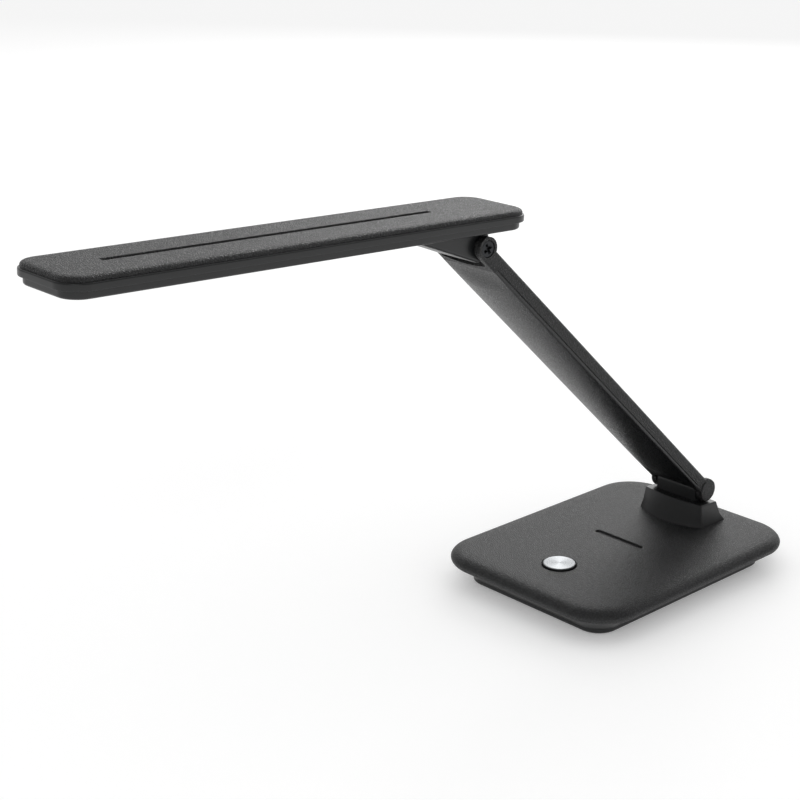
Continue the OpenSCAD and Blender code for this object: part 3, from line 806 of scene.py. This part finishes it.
class LAMP_OT_hinge_bracket(Operator):
    """Loft the bow-fronted bracket and set the middle knuckle on it"""
    bl_idname = "lamp.hinge_bracket"
    bl_label = "Hinge Bracket"

    def execute(self, context):
        bm = bmesh.new()
        up = LOWER.z / MM - mm(sizes()[0].top)
        crown = bow(bm, 21.7, 8.9, 2.6, 5.5, 0.8, up - 7.45)
        for vert in {v for e in crown for v in e.verts}:
            vert.co.z += vert.co.x * math.tan(math.radians(4.4))
        loops = [bow(bm, 24.2, 10, 7.5, 11.4, 3, 0), bow(bm, 23.9, 9.9, 7.2, 10.9, 2.8, 1),
                 bow(bm, 22.8, 9.5, 5.2, 8.2, 2, 5), crown]
        foot, saddle = walls(bm, loops)
        for rim in (foot, saddle):
            bmesh.ops.edgeloop_fill(bm, edges=rim)
        bmesh.ops.recalc_face_normals(bm, faces=bm.faces)
        corners = sharp_edges(bm, 30, lambda e: abs(e.verts[0].co.z - e.verts[1].co.z) > 0.3)
        round_off(bm, corners, 0.7, 4)
        lip = sharp_edges(bm, 30, lambda e: min(v.co.z for v in e.verts) > up - 8.6)
        round_off(bm, lip, 0.35, 3)
        knuckle = bmesh.new()
        plate(knuckle, (6.6, 8), [(6.6, up), (0, up, 180, 40), (-6.6, 8)],
              -14.6, 14.6, [(0, up, 2.55)])
        bmesh.ops.recalc_face_normals(knuckle, faces=knuckle.faces)
        ends = sharp_edges(knuckle, 60, lambda e: abs(e.verts[0].co.y - e.verts[1].co.y) < 0.1
                           and min(v.co.z for v in e.verts) > 9)
        round_off(knuckle, ends, 0.35, 2)
        add(bm, knuckle)
        place = Matrix.Translation((LOWER.x / MM, 0, mm(sizes()[0].top)))
        piece("hinge_bracket_skin", bm, place, "base", ["hinge_bracket"],
              FINISH["smooth_black"])
        return {"FINISHED"}


class LAMP_OT_hinge_hardware(Operator):
    """Turn the end caps and the recessed screw, and soften the nut, pin and washers"""
    bl_idname = "lamp.hinge_hardware"
    bl_label = "Hinge Hardware"

    def execute(self, context):
        half = mm(sizes()[1].width) / 2
        bm = bmesh.new()
        for side in (1, -1):
            cap = turned([(0, half - 0.97), (6.7, half - 0.97), (6.7, half - 0.1),
                          (6.6, half + 0.12), (6.3, half + 0.3), (5.9, half + 0.35),
                          (3, half + 0.35), (0, half + 0.35)], 72)
            bmesh.ops.transform(cap, verts=cap.verts, space=Matrix.Identity(4),
                                matrix=Matrix.Rotation(-side * math.pi / 2, 4, "X"))
            add(bm, cap)
        piece("lower_hinge_cap_pair", bm, along_arm(), "arm", ["lower_hinge_caps"],
              FINISH["grained_shell"])
        bm = turned([(0, -half + 0.1), (1.8, -half + 0.1), (2, -half + 0.3), (2, half - 1.85),
                     (4.4, half - 1.85), (4.4, half - 0.7), (4.28, half - 0.45),
                     (4, half - 0.33), (3.7, half - 0.3)], 64)
        mouth, foot = walls(bm, [cross(bm, 2.9, 1.0, half - 0.3),
                                 cross(bm, 2.75, 0.8, half - 0.5),
                                 cross(bm, 1.9, 0.5, half - 1.6)])
        fill(bm, open_rim(bm, half - 0.3))
        fill(bm, foot)
        bmesh.ops.transform(bm, verts=bm.verts, space=Matrix.Identity(4),
                            matrix=Matrix.Rotation(-math.pi / 2, 4, "X")
                            @ Matrix.Rotation(math.radians(-20), 4, "Z"))
        piece("upper_hinge_screw_head", bm, at_top_hinge(), "arm", ["upper_hinge_screw"],
              FINISH["dark_steel"])
        for name, radius in (("upper_hinge_nut", 0.12), ("lower_hinge_pin", 0.1),
                             ("lower_hinge_washers", 0.06), ("upper_hinge_washers", 0.06)):
            soften(name, "_turned", "arm", radius, 2)
        return {"FINISHED"}


# ---------------------------------------------------------------- arm

class LAMP_OT_arm_shell(Operator):
    """Round the edges of the forked arm shell"""
    bl_idname = "lamp.arm_shell"
    bl_label = "Arm Shell"

    def execute(self, context):
        soften("arm_shell", "_skin", "arm", 0.3, 3)
        return {"FINISHED"}


class LAMP_OT_arm_cover(Operator):
    """Draw the crowned front cover of the arm and the rib behind it"""
    bl_idname = "lamp.arm_cover"
    bl_label = "Arm Front Cover"

    def execute(self, context):
        arm = sizes()[1]
        half, front = mm(arm.width) / 2, -mm(arm.thickness) / 2
        start, end = COVER_START, mm(arm.length) - COVER_END
        seam, edge, lean = front + 1.85, 1.5, 17
        side, up = half - edge, front + 1.16
        reach = side / math.sin(math.radians(lean)) + edge
        crown = (0, up + (reach - edge) * math.cos(math.radians(lean)), 2 * lean, 16)
        bm = bmesh.new()
        plate(bm, (half - 0.3, seam),
              [(-half + 0.3, seam), (-half, seam - 0.3), (-half, up),
               (-side, up, 90 - lean, 5), crown, (side, up, 90 - lean, 5),
               (half, seam - 0.3)], start, end)
        bmesh.ops.recalc_face_normals(bm, faces=bm.faces)
        ends = sharp_edges(bm, 60, lambda e: abs(e.verts[0].co.y - e.verts[1].co.y) < 0.1)
        round_off(bm, ends, 0.12, 2)
        # The crown dies out towards both ends, so that they meet the shell flush.
        for step in range(1, 9):
            for y in (start + FADE * step / 8, end - FADE * step / 8):
                bmesh.ops.bisect_plane(bm, geom=bm.verts[:] + bm.edges[:] + bm.faces[:],
                                       plane_co=(0, y, 0), plane_no=(0, 1, 0))
        for vert in bm.verts:
            if vert.co.z < front:
                near = min(vert.co.y - start, end - vert.co.y) / FADE
                keep = math.sin(min(max(near, 0), 1) * math.pi / 2) ** 2
                vert.co.z = front + (vert.co.z - front) * keep
        bmesh.ops.rotate(bm, verts=bm.verts, cent=(0, 0, 0),
                         matrix=Matrix.Rotation(-math.pi / 2, 3, "Z"))
        foot, crest = seam - 0.25, -2
        rib = slab([(2, foot), (0, foot), (0, crest - 0.2), (0.2, crest), (2, crest)],
                   mm(arm.length) - 32.1, 33.2, 0.8, 4, 14 + (mm(arm.length) - 31.7) / 2)
        fill(rib, open_rim(rib, foot), -1)
        fill(rib, open_rim(rib, crest))
        add(bm, rib)
        piece("arm_front_cover_skin", bm, along_arm(), "arm", ["arm_front_cover"],
              FINISH["arm_grain"])
        return {"FINISHED"}


# ---------------------------------------------------------------- head

class LAMP_OT_head_cover(Operator):
    """Sweep the grained head cover and sink the long groove into it"""
    bl_idname = "lamp.head_cover"
    bl_label = "Head Cover"

    def execute(self, context):
        head = sizes()[2]
        length, width, radius = mm(head.length), mm(head.width), mm(head.corner)
        middle = length / 2 - mm(head.behind)
        top = mm(head.above) + mm(head.height)
        seam, inside = top - COVER_DEPTH, top - COVER_WALL
        roll = [(COVER_INSET + inset, top - 2.3 + rise)
                for inset, rise in cushion(4.6, 2.3, 2.9)]
        bm = slab([(3.8, inside), (2.6, inside), (2.6, seam - 0.02),
                   (COVER_INSET, seam - 0.02)] + roll + [(6.4, top)],
                  length, width, radius, 16, middle)
        face, ceiling = open_rim(bm, top), open_rim(bm, inside)
        groove_mid, groove_len = 119.0, 191.0
        mouth, floor = walls(bm, [
            window(bm, groove_mid, groove_len + 0.9, 4.4, 0.9, top),
            window(bm, groove_mid, groove_len + 0.3, 3.8, 0.7, top - 0.05),
            window(bm, groove_mid, groove_len, 3.5, 0.6, top - 0.2),
            window(bm, groove_mid, groove_len - 0.3, 3.2, 0.5, top - 0.9)])
        fill(bm, face + mouth)
        fill(bm, ceiling, -1)
        fill(bm, floor)
        for x, y in HEAD_SCREWS:
            pillar(bm, x, y, [(1.05, top - 3.2), (0, top - 3.2), (0, top - 1.3),
                              (2.4, top - 1.3), (2.4, top - 8.6), (1.05, top - 8.6),
                              (1.05, top - 3.2)])
        piece("head_cover_skin", bm, along_head(), "head", ["head_cover"],
              FINISH["grained_shell"])
        return {"FINISHED"}


class LAMP_OT_head_tray(Operator):
    """Sweep the stepped tray and cut its light window, screw holes and wire holes"""
    bl_idname = "lamp.head_tray"
    bl_label = "Head Tray"

    def execute(self, context):
        head = sizes()[2]
        length, width, radius = mm(head.length), mm(head.width), mm(head.corner)
        middle = length / 2 - mm(head.behind)
        low = mm(head.above)
        seam = low + mm(head.height) - COVER_DEPTH
        step = seam - 3.6
        floor = low + 1.5
        bm = slab([(4.6, floor), (3.7, floor), (3.7, step + 1.6), (1.7, step + 1.6),
                   (1.7, seam - 0.03), (0.8, seam - 0.03), (0.5, seam - 0.08),
                   (0.22, seam - 0.25), (0.06, seam - 0.5), (0, seam - 0.8), (0, step + 0.4),
                   (0.12, step + 0.12), (0.4, step), (2.0, step), (2.14, step - 0.06),
                   (2.2, step - 0.2)] + quarter(3.4, low + 1.2, 1.2)[::-1] + [(4.2, low)],
                  length, width, radius, 16, middle)
        face, inside = open_rim(bm, low), open_rim(bm, floor)
        light = 141  # middle of the light window, ahead of the hinge
        mouth, end = walls(bm, [window(bm, light, 182 + wider, 34 + wider, 2 + wider / 2, z)
                                for wider, z in ((0.5, low), (0.1, low + 0.08),
                                                 (0, low + 0.3), (0, floor))])
        face, inside = face + mouth, inside + end
        holes = [(x, y, [(1.7, low), (1.7, floor)]) for x, y in ((12, 8), (12, -8), (31, 0))]
        holes += [(5, y, [(1, low), (1, floor)]) for y in (3, -3)]
        holes += [(x, y, [(2.65, low), (2.5, low + 0.15), (2.5, low + 0.8),
                          (1.3, low + 0.8), (1.3, floor)])
                  for x, y in HEAD_SCREWS]
        for x, y, levels in holes:
            mouth, end = well(bm, x, y, levels, 24)
            face, inside = face + mouth, inside + end
        fill(bm, face, -1)
        fill(bm, inside)
        piece("head_tray_skin", bm, along_head(), "head", ["head_tray"],
              FINISH["smooth_black"])
        return {"FINISHED"}


class LAMP_OT_head_bracket(Operator):
    """Round the edges of the wedge tongue that joins the head to the arm"""
    bl_idname = "lamp.head_bracket"
    bl_label = "Head Bracket"

    def execute(self, context):
        soften("head_bracket", "_skin", "head", 0.3, 3)
        return {"FINISHED"}


class LAMP_OT_light_window(Operator):
    """Round the edges of the opal window and the parts of the light panel"""
    bl_idname = "lamp.light_window"
    bl_label = "Light Window"

    def execute(self, context):
        for name, radius in (("diffuser", 0.25), ("reflector_frame", 0.2),
                             ("led_board", 0.15), ("led_chips", 0.12)):
            soften(name, "_panel", "head", radius, 2)
        return {"FINISHED"}


# ---------------------------------------------------------------- inner pieces

INNER = {
    "base": ["ballast_plate", "base_screws", "control_board", "board_parts",
             "board_screws", "tact_switch", "dc_socket", "supply_wires", "lamp_wires",
             "bracket_screws"],
    "button": ["switch_plunger"],
    "arm": ["arm_stiffener", "arm_wires"],
    "head": ["head_bracket_screws", "head_case_screws", "head_wires"],
}


class LAMP_OT_inner_pieces(Operator):
    """Soften the edges of the boards, screws, plates and leads inside"""
    bl_idname = "lamp.inner_pieces"
    bl_label = "Inner Pieces"

    def execute(self, context):
        for body, names in INNER.items():
            for name in names:
                soften(name, "_fitted", body, 0.08, 1)
        return {"FINISHED"}


# ---------------------------------------------------------------- studio

FLOOR_HALF = 20.0                     # metres, far past what the camera sees
BACKDROP = (-0.75, -0.62, 0.25)       # way from the lamp to the backdrop
LIT_POINT = (0.1, 0, 0.1)             # where both soft boxes look
CAMERA_AT = (0.73297, 0.60534, 0.43883)
CAMERA_AIM = (0.17495, 0, 0.14963)
FOCAL_LENGTH = 78.08                  # millimetres, on a 36 mm sensor


def facing(place, aim):
    """Turn of a lamp or camera at one place that looks at another."""
    return (Vector(aim) - Vector(place)).to_track_quat("-Z", "Y").to_euler()


def soft_box(name, place, size_x, size_y, power):
    """Area lamp that looks at the lit point."""
    light = bpy.data.lights.new(name, "AREA")
    light.shape = "RECTANGLE"
    light.size, light.size_y = size_x, size_y
    light.energy = power
    obj = bpy.data.objects.new(name, light)
    obj.location = place
    obj.rotation_euler = facing(place, LIT_POINT)
    bpy.context.scene.collection.objects.link(obj)


def seen(tree):
    """1 for rays from the camera and for those that metal, gloss or glass pass on."""
    path = node(tree, "ShaderNodeLightPath")
    total = path.outputs["Is Camera Ray"]
    for kind in ("Is Glossy Ray", "Is Transmission Ray"):
        total = node(tree, "ShaderNodeMath", {"operation": "MAXIMUM", 0: total,
                                              1: path.outputs[kind]}).outputs[0]
    return total


def seamless_paper():
    """Matt white paper: it keeps the soft shadow, and is lifted to white where it is seen."""
    set_up = bpy.context.scene.lamp_studio
    paper, tree, shader, place = new_material("Matt paper", set_up.floor, 0.9,
                                              **{"Specular IOR Level": 0.0})
    fibres = node(tree, "ShaderNodeTexNoise", {"Scale": 900.0, "Detail": 2.0}, Vector=place)
    tooth = node(tree, "ShaderNodeBump", {"Strength": 0.03, "Distance": 0.00005},
                 Height=fibres.outputs["Fac"])
    feed(tree, shader, Normal=tooth.outputs["Normal"])
    level = node(tree, "ShaderNodeMath",
                 {"operation": "MULTIPLY", 0: seen(tree), 1: set_up.lift})
    lift = node(tree, "ShaderNodeEmission", {"Color": (1, 1, 1, 1)},
                Strength=level.outputs[0])
    both = node(tree, "ShaderNodeAddShader", {0: shader.outputs[0], 1: lift.outputs[0]})
    # From under the floor the sheet is clear, so that the lamp can be looked at from below.
    side = node(tree, "ShaderNodeNewGeometry")
    clear = node(tree, "ShaderNodeBsdfTransparent")
    sheet = node(tree, "ShaderNodeMixShader", {0: side.outputs["Backfacing"],
                                               1: both.outputs[0], 2: clear.outputs[0]})
    out = next(n for n in tree.nodes if n.type == "OUTPUT_MATERIAL")
    tree.links.new(sheet.outputs[0], out.inputs["Surface"])
    return paper


class LAMP_OT_studio(Operator):
    """Lay the pale floor, hang the soft boxes and place the camera"""
    bl_idname = "lamp.studio"
    bl_label = "Studio"

    def execute(self, context):
        scene, set_up = context.scene, context.scene.lamp_studio
        bm = bmesh.new()
        bmesh.ops.create_grid(bm, x_segments=1, y_segments=1, size=FLOOR_HALF)
        mesh = bpy.data.meshes.new("floor")
        bm.to_mesh(mesh)
        bm.free()
        floor = bpy.data.objects.new("floor", mesh)
        scene.collection.objects.link(floor)
        mesh.materials.append(seamless_paper())

        world = bpy.data.worlds.new("Room")
        world.use_nodes = True
        tree = world.node_tree
        tree.nodes.clear()
        room = node(tree, "ShaderNodeBackground",
                    {"Color": (1, 1, 1, 1), "Strength": set_up.sky})
        # In gloss and metal the backdrop is white and the room in front of it dimmer.
        path = node(tree, "ShaderNodeLightPath")
        way = node(tree, "ShaderNodeTexCoord")
        ahead = node(tree, "ShaderNodeVectorMath",
                     {"operation": "DOT_PRODUCT", 0: way.outputs["Generated"], 1: BACKDROP})
        dim = node(tree, "ShaderNodeMapRange",
                   {"interpolation_type": "SMOOTHSTEP", "From Min": 0.25, "From Max": 0.9,
                    "To Min": set_up.room, "To Max": 1.0}, Value=ahead.outputs["Value"])
        level = node(tree, "ShaderNodeMath", {"operation": "MAXIMUM", 0: dim.outputs["Result"],
                                              1: path.outputs["Is Camera Ray"]})
        white = node(tree, "ShaderNodeBackground", {"Color": (1, 1, 1, 1)},
                     Strength=level.outputs[0])
        both = node(tree, "ShaderNodeMixShader",
                    {0: seen(tree), 1: room.outputs[0], 2: white.outputs[0]})
        node(tree, "ShaderNodeOutputWorld", Surface=both.outputs[0])
        scene.world = world

        soft_box("key", (0.95, 0.75, 0.85), 0.34, 0.2, set_up.key)
        soft_box("back", (-1.6, -1.2, 1.0), 1.2, 0.8, set_up.back)

        lens = bpy.data.cameras.new("camera")
        lens.sensor_width = 36.0
        lens.lens = FOCAL_LENGTH
        lens.clip_start, lens.clip_end = 0.05, 60.0
        camera = bpy.data.objects.new("camera", lens)
        camera.location = CAMERA_AT
        camera.rotation_euler = facing(CAMERA_AT, CAMERA_AIM)
        scene.collection.objects.link(camera)
        scene.camera = camera
        scene.view_settings.view_transform = "Standard"
        return {"FINISHED"}


# ---------------------------------------------------------------- add-on

GROUPS = {"lamp_base": LampBaseSizes, "lamp_arm": LampArmSizes,
          "lamp_head": LampHeadSizes, "lamp_finishes": LampFinishes,
          "lamp_studio": LampStudio}
STEPS = [LAMP_OT_finishes, LAMP_OT_base_shell, LAMP_OT_base_tub, LAMP_OT_power_button,
         LAMP_OT_hinge_bracket, LAMP_OT_hinge_hardware, LAMP_OT_arm_shell,
         LAMP_OT_arm_cover, LAMP_OT_head_cover, LAMP_OT_head_tray, LAMP_OT_head_bracket,
         LAMP_OT_light_window, LAMP_OT_inner_pieces, LAMP_OT_studio]


class LAMP_PT_panel(Panel):
    """Steps of the lamp, and the sizes and colours that they use"""
    bl_idname = "LAMP_PT_panel"
    bl_label = "Folding Desk Lamp"
    bl_space_type = "VIEW_3D"
    bl_region_type = "UI"
    bl_category = "Desk Lamp"

    def draw(self, context):
        for step in STEPS:
            self.layout.operator(step.bl_idname)
        for name, group in GROUPS.items():
            box = self.layout.box()
            box.label(text=group.__doc__)
            for key in group.__annotations__:
                box.prop(getattr(context.scene, name), key)


def register():
    for group in GROUPS.values():
        bpy.utils.register_class(group)
    for name, group in GROUPS.items():
        setattr(bpy.types.Scene, name, PointerProperty(type=group))
    for step in STEPS + [LAMP_PT_panel]:
        bpy.utils.register_class(step)


def unregister():
    for step in reversed(STEPS + [LAMP_PT_panel]):
        bpy.utils.unregister_class(step)
    for name in GROUPS:
        delattr(bpy.types.Scene, name)
    for group in reversed(GROUPS.values()):
        bpy.utils.unregister_class(group)


def main():
    register()
    for step in STEPS:
        family, name = step.bl_idname.split(".")
        getattr(getattr(bpy.ops, family), name)()
    bpy.context.view_layer.update()


if __name__ == "__main__":
    main()
